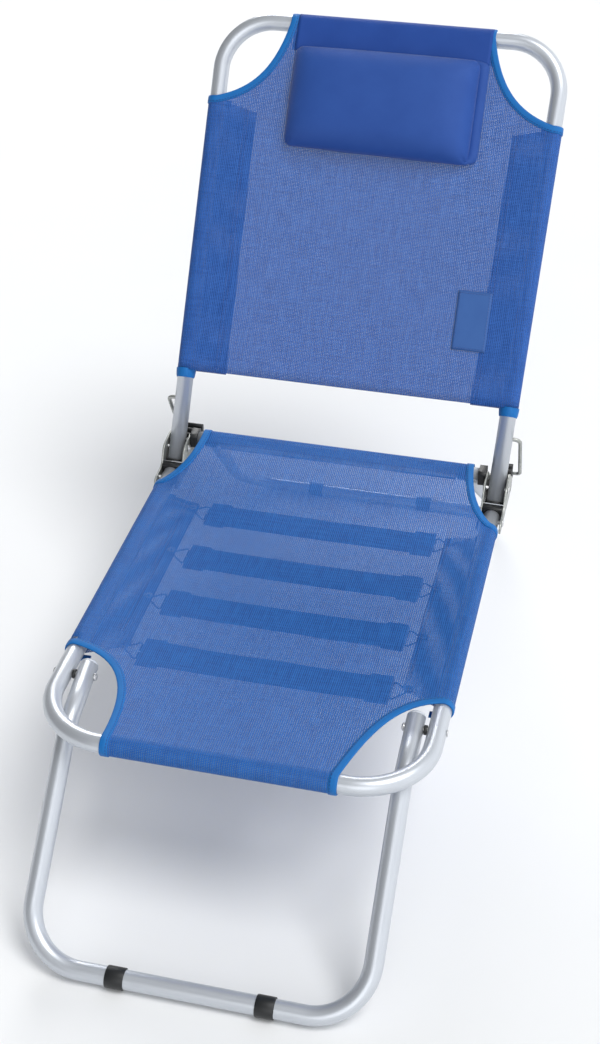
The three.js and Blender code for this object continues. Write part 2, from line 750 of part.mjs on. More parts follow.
// A bent wire triangle from the strap's end to an eyelet.
const strapHook = (side, y) => {
  const wire = 1.2;
  const baseX = side * (strapHalf + wire + gap);
  const apexX = side * (eyeletHalf + 1);
  const apexZ = railHeight - clothOnTube - 3.6;
  const path = new BentPath([
    vec(baseX, y + 2, strapZ),
    vec(baseX, y + 20, strapZ),
    vec(apexX, y, apexZ),
    vec(baseX, y - 20, strapZ),
    vec(baseX, y - 2, strapZ),
  ], [3, 2, 3], 60);
  return sweep(path, wire, 0, 6);
};

const eyelet = (side, y) => {
  const flange = clothThickness / 2 + gap;
  const profile = [
    [3, -flange - 0.8], [6.4, -flange - 0.8], [6.4, -flange], [4.2, -flange],
    [4.2, flange], [6.4, flange], [6.4, flange + 0.8], [3, flange + 0.8], [3, -flange - 0.8],
  ];
  const ring = new THREE.LatheGeometry(profile.map(([r, along]) => new THREE.Vector2(r, along)), 10);
  ring.rotateX(Math.PI / 2);
  ring.translate(side * eyeletHalf, y, railHeight - clothOnTube);
  return ring;
};

strapYs.forEach((y, i) => {
  place(`seat_strap_${i + 1}`, strap(y), elastic);
  sides.forEach(([name, side]) => {
    place(`strap_hook_${i + 1}_${name}`, strapHook(side, y), brightSteel);
    place(`eyelet_${i + 1}_${name}`, eyelet(side, y), brightSteel);
  });
});

// ---- everything made once for each side ---------------------------------------------------

sides.forEach(([name, side]) => {
  const inward = side * railHalf - side * plateInner;
  const outward = side * railHalf + side * plateInner;
  place(`rail_plug_${name}`, railPlug(side), blackPlastic);
  place(`inner_plate_${name}`, hingePlate(side > 0 ? inward - plateThickness : inward), steel);
  place(`outer_plate_${name}`, hingePlate(side > 0 ? outward : outward - plateThickness), steel);
  place(`rail_rivet_${name}`, platePin(side, railRivetY, railHeight, 6), brightSteel);
  place(`recline_pin_${name}`, platePin(side, recline.y, recline.z, 6), brightSteel);
  place(`prop_rack_${name}`, rack(side), blackPlastic);
  place(`crossbar_collar_${name}`, crossbarCollar(side), blackPlastic);
  place(`front_leg_plug_${name}`, legPlug(side), greyPlastic);
  place(`front_leg_rivet_${name}`, legRivet(side), brightSteel);
  place(`front_leg_spacer_${name}`, legSpacer(side), blackPlastic);
  place(`front_foot_band_${name}`, footBand(side, frontFoot, tubeRadius), blackPlastic);
  place(`rear_leg_hub_${name}`, rearHub(side), blackPlastic);
  place(`rear_foot_band_${name}`, footBand(side, rearFoot, rearTubeRadius), blackPlastic);
  place(`back_shoe_${name}`, backShoe(side), blackPlastic, back);
  place(`wire_prop_${name}`, wireProp(side), steel);
});

export default chair;
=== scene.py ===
import json
import math

import bmesh
import bpy
from mathutils import Matrix, Vector


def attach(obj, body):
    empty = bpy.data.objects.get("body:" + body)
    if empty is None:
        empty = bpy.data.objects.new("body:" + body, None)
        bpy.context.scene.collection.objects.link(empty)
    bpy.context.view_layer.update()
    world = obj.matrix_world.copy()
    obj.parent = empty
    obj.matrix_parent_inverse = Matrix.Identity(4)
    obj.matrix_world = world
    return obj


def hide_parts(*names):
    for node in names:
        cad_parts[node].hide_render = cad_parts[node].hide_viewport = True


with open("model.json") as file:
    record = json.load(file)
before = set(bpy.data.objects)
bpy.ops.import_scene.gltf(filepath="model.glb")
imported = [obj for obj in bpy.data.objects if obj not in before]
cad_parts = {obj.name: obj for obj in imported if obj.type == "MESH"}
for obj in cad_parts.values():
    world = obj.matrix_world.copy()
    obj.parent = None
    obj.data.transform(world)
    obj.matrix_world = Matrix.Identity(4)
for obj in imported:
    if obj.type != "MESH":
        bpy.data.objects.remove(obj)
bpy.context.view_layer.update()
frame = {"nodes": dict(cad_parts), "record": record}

# ---- dimensions ----

# Outer radii of the tubes, and the radii of their bends.
TUBE = 0.0125
REAR_TUBE = 0.0095
CROSSBAR_TUBE = 0.010
SEAT_BEND = 0.092
BACK_BEND = 0.078
FRONT_BENDS = [0.06, 0.075, 0.075, 0.06]
REAR_BEND = 0.062

# The seat frame: its front bar, and its rails' height, half spacing and length.
FRONT_Y = -0.4349
RAIL_Z = 0.246
RAIL_X = 0.251
RAIL_LENGTH = 0.606

# The back: its pivot, slope and length, and how much wider each side is at the top.
BACK_Y = FRONT_Y + 0.626
BACK_TILT = math.radians(54.3)
BACK_LENGTH = 0.707
BACK_SPLAY = 0.014

# The legs' foot bars as (y, height of the axis), and the crossbar.
FRONT_FOOT = (FRONT_Y - 0.169, 0.0142)
REAR_FOOT = (FRONT_Y + 0.953, 0.0112)
FRONT_LEG_X = 0.221
REAR_LEG_X = (0.200, 0.238)
HUB_REACH = 0.017
BAR_ALONG = 0.664
BAR_LIFT = 0.035
CROSSBAR_HALF = 0.231
CROSSBAR = Vector((0, FRONT_Y + BAR_ALONG, RAIL_Z + BAR_LIFT))

# The cloth's radius round the tubes and round the crossbar, its flaps' inner edge, and its mesh.
CLOTH_TUBE = TUBE + 0.0014
CLOTH_BAR = 0.0133
FLAP_X = 0.190
STRAP_ALONG = (0.208, 0.320, 0.432, 0.544)
STRAP_Z = RAIL_Z - 0.021
MESH_THICKNESS = 0.0002
WARP_PITCH = 0.0028
WEFT_PITCH = 0.00214
SIDES = (("left", -1), ("right", 1))

back_frame = Matrix.Translation((0, BACK_Y, RAIL_Z)) @ Matrix.Rotation(BACK_TILT, 4, "X")


def on_seat(x, along, out):
    """A point given across the seat, along it from the front bar, and above the rails' axis."""
    return Vector((x, FRONT_Y + along, RAIL_Z + out))


def on_back(x, along, out):
    """A point given across the back, up along it, and out towards the sitter."""
    return back_frame @ Vector((x, along, out))


def back_half(along):
    return RAIL_X + BACK_SPLAY * along / BACK_LENGTH


# ---- meshes ----


def new_object(name, data):
    made = bpy.data.objects.new(name, data)
    bpy.context.scene.collection.objects.link(made)
    return made


def smooth(mesh):
    mesh.polygons.foreach_set("use_smooth", [True] * len(mesh.polygons))


def add_mesh(name, verts, faces, uvs=None, body=None):
    """A smooth mesh object; uvs gives one (u, v) for each face corner, in metres."""
    mesh = bpy.data.meshes.new(name)
    mesh.from_pydata([tuple(v) for v in verts], [], faces)
    if uvs:
        layer = mesh.uv_layers.new(name="UVMap")
        for face, corners in zip(mesh.polygons, uvs):
            for loop, uv in zip(face.loop_indices, corners):
                layer.data[loop].uv = uv
    smooth(mesh)
    mesh.update()
    piece = new_object(name, mesh)
    if body:
        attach(piece, body)
    return piece


def bent(corners, radii, step=4):
    """Points along a polyline whose corners are rounded to the given radii."""
    points = [Vector(corners[0])]
    for before, corner, after, radius in zip(corners, corners[1:], corners[2:], radii):
        into = (Vector(corner) - Vector(before)).normalized()
        out = (Vector(after) - Vector(corner)).normalized()
        turn = into.angle(out)
        start = Vector(corner) - into * radius * math.tan(turn / 2)
        inward = (out - into * into.dot(out)).normalized()
        count = max(2, math.ceil(math.degrees(turn) / step))
        for i in range(count + 1):
            angle = turn * i / count
            ahead, aside = radius * math.sin(angle), radius * (1 - math.cos(angle))
            points.append(start + into * ahead + inward * aside)
    points.append(Vector(corners[-1]))
    return points


def heading(points, i):
    return (points[min(i + 1, len(points) - 1)] - points[max(i - 1, 0)]).normalized()


def carried_frames(points):
    """(point, side, up) at each point, with the side carried along without twisting."""
    frames = []
    side = None
    for i, point in enumerate(points):
        along = heading(points, i)
        if side is None:
            side = along.orthogonal().normalized()
        side = (side - along * side.dot(along)).normalized()
        frames.append((point, side, along.cross(side)))
    return frames


def lengths(points):
    """The distance along the points at each of them."""
    total = [0.0]
    for a, b in zip(points, points[1:]):
        total.append(total[-1] + (b - a).length)
    return total


def skin(name, rings, body, across=None, reach=None):
    """A closed skin through equal rings of points, with u from across and v from reach."""
    count = len(rings[0])
    verts = [point for ring in rings for point in ring]
    faces, uvs = [], []
    for i in range(len(rings) - 1):
        for k in range(count):
            a, b = i * count + k, i * count + (k + 1) % count
            faces.append((a, b, b + count, a + count))
            if across:
                u, v = across[k], across[k + 1]
                uvs.append(((u, reach[i]), (v, reach[i]), (v, reach[i + 1]), (u, reach[i + 1])))
    last = (len(rings) - 1) * count
    for end in (list(range(count))[::-1], list(range(last, last + count))):
        faces.append(tuple(end))
        if across:
            uvs.append([(0, 0)] * count)
    return add_mesh(name, verts, faces, uvs, body)


def circle(centre, side, up, radius, sides):
    """Points of a circle in the plane of side and up."""
    angles = [2 * math.pi * k / sides for k in range(sides)]
    return [centre + (side * math.cos(angle) + up * math.sin(angle)) * radius for angle in angles]


def sweep(name, points, radius, body, sides=32):
    """A round bar along the points, closed at both ends, with u round it and v along it."""
    rings = [circle(point, side, up, radius, sides) for point, side, up in carried_frames(points)]
    across = [2 * math.pi * radius / sides * k for k in range(sides + 1)]
    piece = skin(name, rings, body, across, lengths(points))
    for face in piece.data.polygons:
        if len(face.vertices) == sides:
            face.use_smooth = False
    return piece


def ribbon(name, edge, body, width=0.0105, thick=0.0026, overhang=0.0008):
    """A folded tape over a cloth edge. edge is a list of (point, normal, inward) along the edge."""
    upper = [
        (-overhang * 0.7, 0.35), (0.0006, 0.5), (width * 0.5, 0.56), (width - 0.0004, 0.5),
        (width, 0.3)]
    section = [(-overhang, 0.0)] + upper + [(w, -h) for w, h in reversed(upper)]
    rings = []
    for point, normal, inward in edge:
        rings.append([point + inward * w + normal * h * thick for w, h in section])
    across = [w for w, _ in section] + [-overhang]
    return skin(name, rings, body, across, lengths([point for point, _, _ in edge]))


def clean(piece, distance, hole=None):
    """Joins points closer than the distance, cuts the faces in the hole, and turns all faces out."""
    work = bmesh.new()
    work.from_mesh(piece.data)
    bmesh.ops.remove_doubles(work, verts=work.verts, dist=distance)
    if hole:
        gone = [face for face in work.faces if hole(face.calc_center_median())]
        bmesh.ops.delete(work, geom=gone, context="FACES")
    bmesh.ops.recalc_face_normals(work, faces=work.faces)
    work.to_mesh(piece.data)
    work.free()


def revolve(name, profile, centre, axis, body, sides=40):
    """A closed ring or axis-to-axis profile of (radius, along) pairs turned about an axis."""
    axis = Vector(axis).normalized()
    side = axis.orthogonal().normalized()
    up = axis.cross(side)
    verts, faces, uvs = [], [], []
    for radius, along in profile:
        verts += circle(Vector(centre) + axis * along, side, up, radius, sides)
    for i in range(len(profile)):
        j = (i + 1) % len(profile)
        wide = 2 * math.pi * max(profile[i][0], 0.004) / sides
        for k in range(sides):
            corners = ((i, k), (i, k + 1), (j, k + 1), (j, k))
            faces.append(tuple(r * sides + c % sides for r, c in corners))
            uvs.append([(c * wide, profile[r][1]) for r, c in corners])
    piece = add_mesh(name, verts, faces, uvs, body)
    clean(piece, 1e-6)
    piece.data.set_sharp_from_angle(angle=math.radians(40))
    return piece


def thicken(piece, thickness):
    thick = piece.modifiers.new("thickness", "SOLIDIFY")
    thick.thickness = thickness
    thick.offset = 0


class Cloth:
    """Collects patches of a cloth in one mesh, each a grid of (point, pattern u, pattern v)."""

    def __init__(self):
        self.verts, self.faces, self.uvs = [], [], []

    def patch(self, rows):
        base = len(self.verts)
        wide = len(rows[0])
        for row in rows:
            self.verts.extend(point for point, _, _ in row)
        for i in range(len(rows) - 1):
            for k in range(wide - 1):
                corners = ((i, k), (i, k + 1), (i + 1, k + 1), (i + 1, k))
                self.faces.append(tuple(base + r * wide + c for r, c in corners))
                self.uvs.append([(rows[r][c][1], rows[r][c][2]) for r, c in corners])

    def flat_area(self):
        total = 0.0
        for corners in self.uvs:
            for (x1, y1), (x2, y2) in zip(corners, corners[1:] + corners[:1]):
                total += (x1 * y2 - x2 * y1) / 2
        return abs(total)

    def build(self, name, body, hole=None, thickness=0.0008):
        piece = add_mesh(name, self.verts, self.faces, self.uvs, body)
        clean(piece, 1e-5, hole)
        thicken(piece, thickness)
        return piece


def cubic(p0, p1, p2, p3, t):
    """A point of the cubic curve through p0 and p3, pulled towards p1 and p2."""
    s = 1 - t
    weights = (s**3, 3 * s * s * t, 3 * s * t * t, t**3)
    return [sum(w * p for w, p in zip(weights, axis)) for axis in zip(p0, p1, p2, p3)]


def cut_edge(curve, widest, last_along, count=20):
    """Points (half width, along) of a cut-out's curve, from the side tube to the end bar."""
    rising = curve[3][1] > curve[0][1]
    fine = [cubic(*curve, i / 400) for i in range(401)]
    within = [p for p in fine if p[0] <= widest(p[1])]
    kept = [p for p in within if (p[1] <= last_along if rising else p[1] >= last_along)]
    reach = lengths([Vector((x, y, 0)) for x, y in kept])
    picked = []
    for i in range(count + 1):
        target = reach[-1] * i / count
        nearest = min(range(len(reach)), key=lambda k: abs(reach[k] - target))
        picked.append(tuple(kept[nearest]))
    picked[0] = (widest(picked[0][1]), picked[0][1])
    picked[-1] = (picked[-1][0], last_along)
    return picked


def stitches(name, path, body, length=0.003, pitch=0.0043, width=0.0006):
    """A row of short raised threads along a path of (point, normal) pairs."""
    points = [point for point, _ in path]
    reach = lengths(points)
    verts, faces = [], []
    place, i = 0.001, 0
    while place + length < reach[-1]:
        while reach[i + 1] < place:
            i += 1
        share = (place - reach[i]) / max(reach[i + 1] - reach[i], 1e-9)
        start = points[i].lerp(points[i + 1], share)
        along = (points[i + 1] - points[i]).normalized()
        normal = path[i][1].lerp(path[i + 1][1], share).normalized()
        side = along.cross(normal).normalized()
        base = len(verts)
        for step, lift, spread in ((0, 0, 0.5), (0.25, 1, 1), (0.75, 1, 1), (1, 0, 0.5)):
            centre = start + along * length * step
            top = centre + normal * width * 0.75 * lift + normal * 0.0001
            aside = side * width * 0.5 * spread
            verts += [centre + aside, top, centre - aside]
        for a in (base, base + 3, base + 6):
            faces.append((a, a + 1, a + 4, a + 3))
            faces.append((a + 1, a + 2, a + 5, a + 4))
            faces.append((a + 2, a, a + 3, a + 5))
        faces += [(base + 2, base + 1, base), (base + 9, base + 10, base + 11)]
        place += pitch
    return add_mesh(name, verts, faces, None, body)


# ---- materials ----


class Paint:
    """A material's node tree, with short calls for the nodes it uses."""

    def __init__(self, name, **sockets):
        self.material = bpy.data.materials.new(name)
        self.material.use_nodes = True
        self.tree = self.material.node_tree
        self.shader = self.tree.nodes["Principled BSDF"]
        for socket, value in sockets.items():
            self.shader.inputs[socket.replace("_", " ")].default_value = value

    def node(self, kind, **inputs):
        made = self.tree.nodes.new(kind)
        for key, value in inputs.items():
            if hasattr(made, key) and not key.startswith("in_"):
                setattr(made, key, value)
                continue
            socket = made.inputs[int(key[3:])] if key.startswith("in_") else made.inputs[key]
            self.feed(socket, value)
        return made

    def feed(self, socket, value):
        if isinstance(value, bpy.types.NodeSocket):
            self.tree.links.new(value, socket)
        else:
            socket.default_value = value

    def math(self, operation, a, b=0.0, c=0.0):
        return self.node("ShaderNodeMath", operation=operation, in_0=a, in_1=b, in_2=c).outputs[0]

    def times(self, a, b):
        return self.math("MULTIPLY", a, b)

    def times_plus(self, a, b, c):
        return self.math("MULTIPLY_ADD", a, b, c)

    def coordinates(self, source="Object"):
        return self.node("ShaderNodeTexCoord").outputs[source]

    def scaled(self, vector, x, y, z=1.0):
        mapping = self.node("ShaderNodeMapping", Vector=vector)
        mapping.inputs["Scale"].default_value = (x, y, z)
        return mapping.outputs[0]

    def parts(self, vector):
        return self.node("ShaderNodeSeparateXYZ", Vector=vector).outputs

    def noise(self, vector, scale, detail=3.0, rough=0.55):
        made = self.node("ShaderNodeTexNoise", Vector=vector, Scale=scale, Detail=detail, Roughness=rough)
        return made.outputs["Fac"]

    def ramp(self, value, low, high, to_low=0.0, to_high=1.0):
        made = self.node("ShaderNodeMapRange", in_0=value, in_1=low, in_2=high, in_3=to_low, in_4=to_high)
        made.interpolation_type = "SMOOTHSTEP"
        return made.outputs[0]

    def mix(self, share, a, b):
        made = self.node("ShaderNodeMix", data_type="RGBA")
        for number, value in ((0, share), (6, a), (7, b)):
            self.feed(made.inputs[number], (*value, 1.0) if isinstance(value, tuple) else value)
        return made.outputs[2]

    def bump(self, height, distance, strength=1.0):
        made = self.node("ShaderNodeBump", Height=height, Distance=distance, Strength=strength)
        self.tree.links.new(made.outputs[0], self.shader.inputs["Normal"])

    def colour(self, value):
        self.feed(self.shader.inputs["Base Color"], value)

    def rough(self, value):
        self.feed(self.shader.inputs["Roughness"], value)


def tube_aluminium():
    """Drawn tube: fine streaks along its length, a little cloudiness and rubbed spots."""
    paint = Paint("tube_aluminium", Metallic=0.55, Roughness=0.35)
    uv = paint.coordinates("UV")
    streaks = paint.noise(paint.scaled(uv, 2600, 26), 1.0, 3.0)
    cloud = paint.noise(paint.coordinates(), 34.0, 4.0)
    rubbed = paint.ramp(paint.noise(paint.scaled(uv, 160, 60), 1.0, 5.0, 0.7), 0.62, 0.74)
    shade = paint.mix(streaks, (0.48, 0.505, 0.545), (0.65, 0.68, 0.725))
    shade = paint.mix(paint.times(cloud, 0.35), shade, (0.55, 0.58, 0.63))
    paint.colour(paint.mix(paint.times(rubbed, 0.4), shade, (0.40, 0.425, 0.47)))
    rough = paint.times_plus(streaks, 0.12, 0.28)
    paint.rough(paint.times_plus(rubbed, 0.12, rough))
    paint.bump(streaks, 0.00006, 0.5)
    return paint.material


def plated_steel(name, dark, light, low, high):
    """Zinc plating: faint crystals, cloudy tone, and darker rubbed patches."""
    paint = Paint(name, Metallic=0.85, Roughness=0.4)
    where = paint.coordinates()
    cells = paint.node("ShaderNodeTexVoronoi", Vector=where, Scale=420.0).outputs["Color"]
    crystal = paint.parts(cells)[0]
    cloud = paint.noise(where, 90.0, 5.0, 0.65)
    share = paint.times_plus(crystal, 0.25, paint.times(cloud, 0.8))
    paint.colour(paint.mix(share, dark, light))
    paint.rough(paint.ramp(share, 0.2, 0.9, high, low))
    paint.bump(cloud, 0.0002, 0.4)
    return paint.material


def moulded_plastic(name, base, worn, low=0.42, high=0.62):
    """Moulded plastic: a fine spark texture, dusty patches and a dull sheen."""
    paint = Paint(name, Roughness=0.5)
    where = paint.coordinates()
    grain = paint.noise(where, 1500.0, 2.0)
    dust = paint.ramp(paint.noise(where, 70.0, 5.0, 0.7), 0.5, 0.75)
    paint.colour(paint.mix(paint.times(dust, 0.5), base, worn))
    paint.rough(paint.ramp(dust, 0.0, 1.0, low, high))
    paint.bump(grain, 0.00012, 0.6)
    return paint.material


def wave(paint, value, pitch):
    """A 0 to 1 wave that repeats each pitch."""
    turn = paint.times(value, 2 * math.pi / pitch)
    return paint.times_plus(paint.math("SINE", turn), 0.5, 0.5)


def sling_mesh(name, opening, dark, light):
    """Open mesh of coated yarn: small holes between warp and weft, yarns that vary in tone, a painted
    highlight on the yarn crowns and painted shade on the yarn round each hole.

    opening is how much of the light passes in the middle of a hole.
    """
    paint = Paint(name, Roughness=0.5, Specular_IOR_Level=0.16, Sheen_Weight=0.05, Sheen_Roughness=0.4)
    uv = paint.coordinates("UV")
    across, along, _ = paint.parts(uv)
    warp = wave(paint, across, WARP_PITCH)
    weft = wave(paint, along, WEFT_PITCH)
    hole = paint.ramp(paint.times(warp, weft), 0.26, 0.58)
    slub = paint.noise(paint.scaled(uv, 26, 420), 1.0, 3.0)
    slub_two = paint.noise(paint.scaled(uv, 330, 26), 1.0, 3.0)
    cloud = paint.noise(paint.scaled(uv, 7, 5), 1.0, 3.0)
    tone = paint.ramp(paint.math("ADD", slub, slub_two), 0.75, 1.25)
    middle = tuple((a + b) / 2 for a, b in zip(dark, light))
    thread = paint.mix(tone, dark, light)
    thread = paint.mix(paint.times(cloud, 0.35), thread, middle)
    # Painted highlight: the yarn crowns are lightened towards the light tone.
    painted_crown_highlight = paint.times(paint.math("SUBTRACT", 1.0, warp), 0.45)
    thread = paint.mix(painted_crown_highlight, thread, light)
    # Painted shade: the yarn round each hole is darkened towards the dark tone.
    paint.colour(paint.mix(paint.times(hole, 0.5), thread, dark))
    paint.feed(paint.shader.inputs["Alpha"], paint.times_plus(hole, -opening, 1.0))
    paint.rough(paint.times_plus(tone, 0.15, 0.48))
    paint.bump(paint.math("MAXIMUM", warp, weft), 0.0004, 0.5)
    return paint.material


def woven_cloth(name, dark, light, pitch=0.0009, rough=0.62, sheen=0.3):
    """Close plain weave in object space, with soft shading and a faint sheen."""
    paint = Paint(
        name, Roughness=rough, Specular_IOR_Level=0.25, Sheen_Weight=sheen, Sheen_Roughness=0.35)
    where = paint.coordinates()
    x, y, z = paint.parts(where)
    diagonal = paint.math("ADD", y, z)
    weave = paint.times(wave(paint, x, pitch), wave(paint, diagonal, pitch))
    fuzz = paint.noise(where, 900.0, 3.0)
    cloud = paint.noise(where, 26.0, 4.0)
    share = paint.times_plus(weave, 0.35, paint.times(cloud, 0.75))
    paint.colour(paint.mix(share, dark, light))
    paint.bump(paint.times_plus(fuzz, 0.4, weave), 0.0002, 0.5)
    return paint.material


def bound_tape():
    """Woven tape: fine ribs across it and a stitched row near its inner edge."""
    paint = Paint(
        "bound_tape", Roughness=0.55, Specular_IOR_Level=0.25, Sheen_Weight=0.08, Sheen_Roughness=0.4)
    rib_pitch, stitch_pitch, stitch_row = 0.0011, 0.0042, 0.0082
    uv = paint.coordinates("UV")
    across, along, _ = paint.parts(uv)
    ribs = wave(paint, along, rib_pitch)
    away = paint.math("ABSOLUTE", paint.math("SUBTRACT", across, stitch_row))
    near = paint.math("SUBTRACT", 1.0, paint.ramp(away, 0.0004, 0.0008))
    dash = paint.ramp(wave(paint, along, stitch_pitch), 0.25, 0.4)
    stitch = paint.times(near, dash)
    cloud = paint.noise(paint.scaled(uv, 300, 40), 1.0, 3.0)
    tape = paint.mix(cloud, (0.003, 0.105, 0.36), (0.010, 0.19, 0.54))
    tape = paint.mix(paint.times(ribs, 0.3), tape, (0.002, 0.07, 0.27))
    paint.colour(paint.mix(stitch, tape, (0.01, 0.05, 0.22)))
    paint.bump(paint.math("SUBTRACT", ribs, paint.times(near, 1.2)), 0.00025, 0.5)
    return paint.material


def strap_elastic():
    """Woven elastic: lengthwise ribs crossed by fine rubber lines."""
    paint = Paint("strap_elastic", Roughness=0.7, Sheen_Weight=0.3)
    rib_pitch, line_pitch = 0.0032, 0.0013
    x, y, _ = paint.parts(paint.coordinates())
    ribs = wave(paint, y, rib_pitch)
    fine = wave(paint, x, line_pitch)
    cloud = paint.noise(paint.coordinates(), 60.0, 4.0)
    share = paint.times_plus(ribs, 0.45, paint.times(cloud, 0.5))
    paint.colour(paint.mix(share, (0.012, 0.036, 0.15), (0.026, 0.074, 0.28)))
    paint.bump(paint.times_plus(fine, 0.5, ribs), 0.0004, 0.7)
    return paint.material


def floor_paint():
    """Pale matt floor with a faint cloudiness."""
    paint = Paint("floor", Roughness=0.85)
    cloud = paint.noise(paint.coordinates(), 3.0, 3.0)
    paint.colour(paint.mix(cloud, (0.80, 0.805, 0.81), (0.84, 0.845, 0.85)))
    return paint.material


aluminium = tube_aluminium()
zinc = plated_steel("zinc_steel", (0.20, 0.225, 0.22), (0.56, 0.56, 0.53), 0.32, 0.55)
bright = plated_steel("bright_steel", (0.42, 0.43, 0.44), (0.78, 0.78, 0.78), 0.22, 0.42)
black = moulded_plastic("black_plastic", (0.010, 0.011, 0.012), (0.030, 0.031, 0.033))
grey = moulded_plastic("grey_plastic", (0.50, 0.53, 0.58), (0.62, 0.64, 0.67), 0.3, 0.5)
seat_mesh = sling_mesh("seat_mesh", 0.80, (0.013, 0.075, 0.29), (0.031, 0.151, 0.475))
back_mesh = sling_mesh("back_mesh", 0.54, (0.016, 0.068, 0.27), (0.040, 0.135, 0.45))
pillow_cloth = woven_cloth("pillow_cloth", (0.014, 0.058, 0.265), (0.026, 0.087, 0.345), sheen=0.25)
hem_cloth = woven_cloth("hem_cloth", (0.008, 0.044, 0.235), (0.016, 0.072, 0.33), sheen=0.08)
label_cloth = woven_cloth("label_cloth", (0.030, 0.095, 0.31), (0.050, 0.140, 0.39), 0.0007, 0.45)
thread = woven_cloth("thread", (0.02, 0.06, 0.26), (0.04, 0.10, 0.38), 0.0006, 0.5)
tape = bound_tape()
elastic = strap_elastic()


def wear(piece, material):
    piece.data.materials.clear()
    piece.data.materials.append(material)


def finish_in(piece, material):
    """Gives a piece its material."""
    wear(piece, material)
    return piece


# ---- tubes ----


def tube(name, corners, radii, radius, body, node):
    """A bent aluminium tube that stands for a CAD node."""
    piece = sweep(name, bent(corners, radii), radius, body)
    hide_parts(node)
    return finish_in(piece, aluminium)


def mirrored(points):
    """A path given for the right side, run from the left end round to the right end."""
    left = [Vector((-p.x, p.y, p.z)) for p in points]
    return left + points[::-1]


seat_path = mirrored([on_seat(RAIL_X, RAIL_LENGTH, 0), on_seat(RAIL_X, 0, 0)])
tube("seat_tube", seat_path, [SEAT_BEND] * 2, TUBE, "seat", "seat_frame")

back_path = mirrored([on_back(back_half(along), along, 0) for along in (0.012, BACK_LENGTH)])
tube("back_tube", back_path, [BACK_BEND] * 2, TUBE, "back", "back_frame")

front_path = mirrored([
    on_seat(FRONT_LEG_X, 0.136, 0.0042),
    on_seat(FRONT_LEG_X, 0.0475, -0.0205),
    Vector((FRONT_LEG_X, *FRONT_FOOT)),
])
tube("front_leg_tube", front_path, FRONT_BENDS, TUBE, "front_leg", "front_leg")

rear_top = Vector((REAR_LEG_X[0], CROSSBAR.y, CROSSBAR.z))
rear_foot = Vector((REAR_LEG_X[1], *REAR_FOOT))
rear_start = rear_top + (rear_foot - rear_top).normalized() * HUB_REACH
rear_path = mirrored([rear_start, rear_foot])
tube("rear_leg_tube", rear_path, [REAR_BEND] * 2, REAR_TUBE, "rear_leg", "rear_leg")

bar_end = Vector((CROSSBAR_HALF, 0, 0))
tube("crossbar_tube", [CROSSBAR - bar_end, CROSSBAR + bar_end], [], CROSSBAR_TUBE, "seat", "crossbar")

# ---- foot bands ----

BAND_X = 0.097


def foot_band(end, side_name, side, foot, bar):
    """A short sleeve with rounded rims round a leg's foot bar, resting on the floor."""
    half = 0.0122
    y, radius = foot
    rim = [
        (bar + 0.0002, half), (radius - 0.001, half), (radius - 0.0003, half - 0.0004),
        (radius, half - 0.0012)]
    profile = [(out, -along) for out, along in rim] + rim[::-1]
    centre = (side * BAND_X, y, radius + 0.00005)
    piece = revolve(f"{end}_band_{side_name}", profile, centre, (1, 0, 0), f"{end}_leg")
    finish_in(piece, black)
    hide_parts(f"{end}_foot_band_{side_name}")


for side_name, side in SIDES:
    foot_band("front", side_name, side, FRONT_FOOT, TUBE)
    foot_band("rear", side_name, side, REAR_FOOT, REAR_TUBE)

# ---- seat sling ----

SEAT_FRONT = {
    -1: ((0.268, 0.166), (0.190, 0.162), (0.150, 0.112), (0.156, -0.005)),
    1: ((0.268, 0.163), (0.200, 0.160), (0.172, 0.098), (0.147, -0.005)),
}
SEAT_REAR = ((0.268, 0.560), (0.228, 0.575), (0.212, 0.625), (0.211, 0.690))
SEAT_REAR_HALF = SEAT_REAR[-1][0]
SEAT_SAG = 0.005
HEM_TURN = 0.032


def seat_height(x, along):
    """The seat's height above the rails' axis: a slight hollow, and a rise to the crossbar."""
    share = min(abs(x) / RAIL_X, 1.0)
    start = 0.556 - 0.10 * (1 - share**4)
    rise = max(0.0, (along - start) / (BAR_ALONG - start))
    lift = (BAR_LIFT + CLOTH_BAR - CLOTH_TUBE) * rise**1.35
    sag = SEAT_SAG * (1 - share**2) * math.sin(math.pi * min(max(along / BAR_ALONG, 0), 1)) ** 0.8
    return CLOTH_TUBE + lift - sag


def arc(centre_along, centre_out, radius, start, stop, count):
    """(along, out, normal angle) round a bar, from start to stop degrees."""
    for i in range(count + 1):
        angle = math.radians(start + (stop - start) * i / count)
        yield centre_along + radius * math.cos(angle), centre_out + radius * math.sin(angle), angle


def width_at(cut, along):
    """The cloth's half width where a cut-out's curve passes the given place."""
    for (half_a, along_a), (half_b, along_b) in zip(cut, cut[1:]):
        if min(along_a, along_b) <= along <= max(along_a, along_b):
            share = (along - along_a) / (along_b - along_a) if along_a != along_b else 0
            return half_a + (half_b - half_a) * share
    return cut[0][0] if abs(along - cut[0][1]) < abs(along - cut[-1][1]) else cut[-1][0]


def seat_half(along):
    return RAIL_X


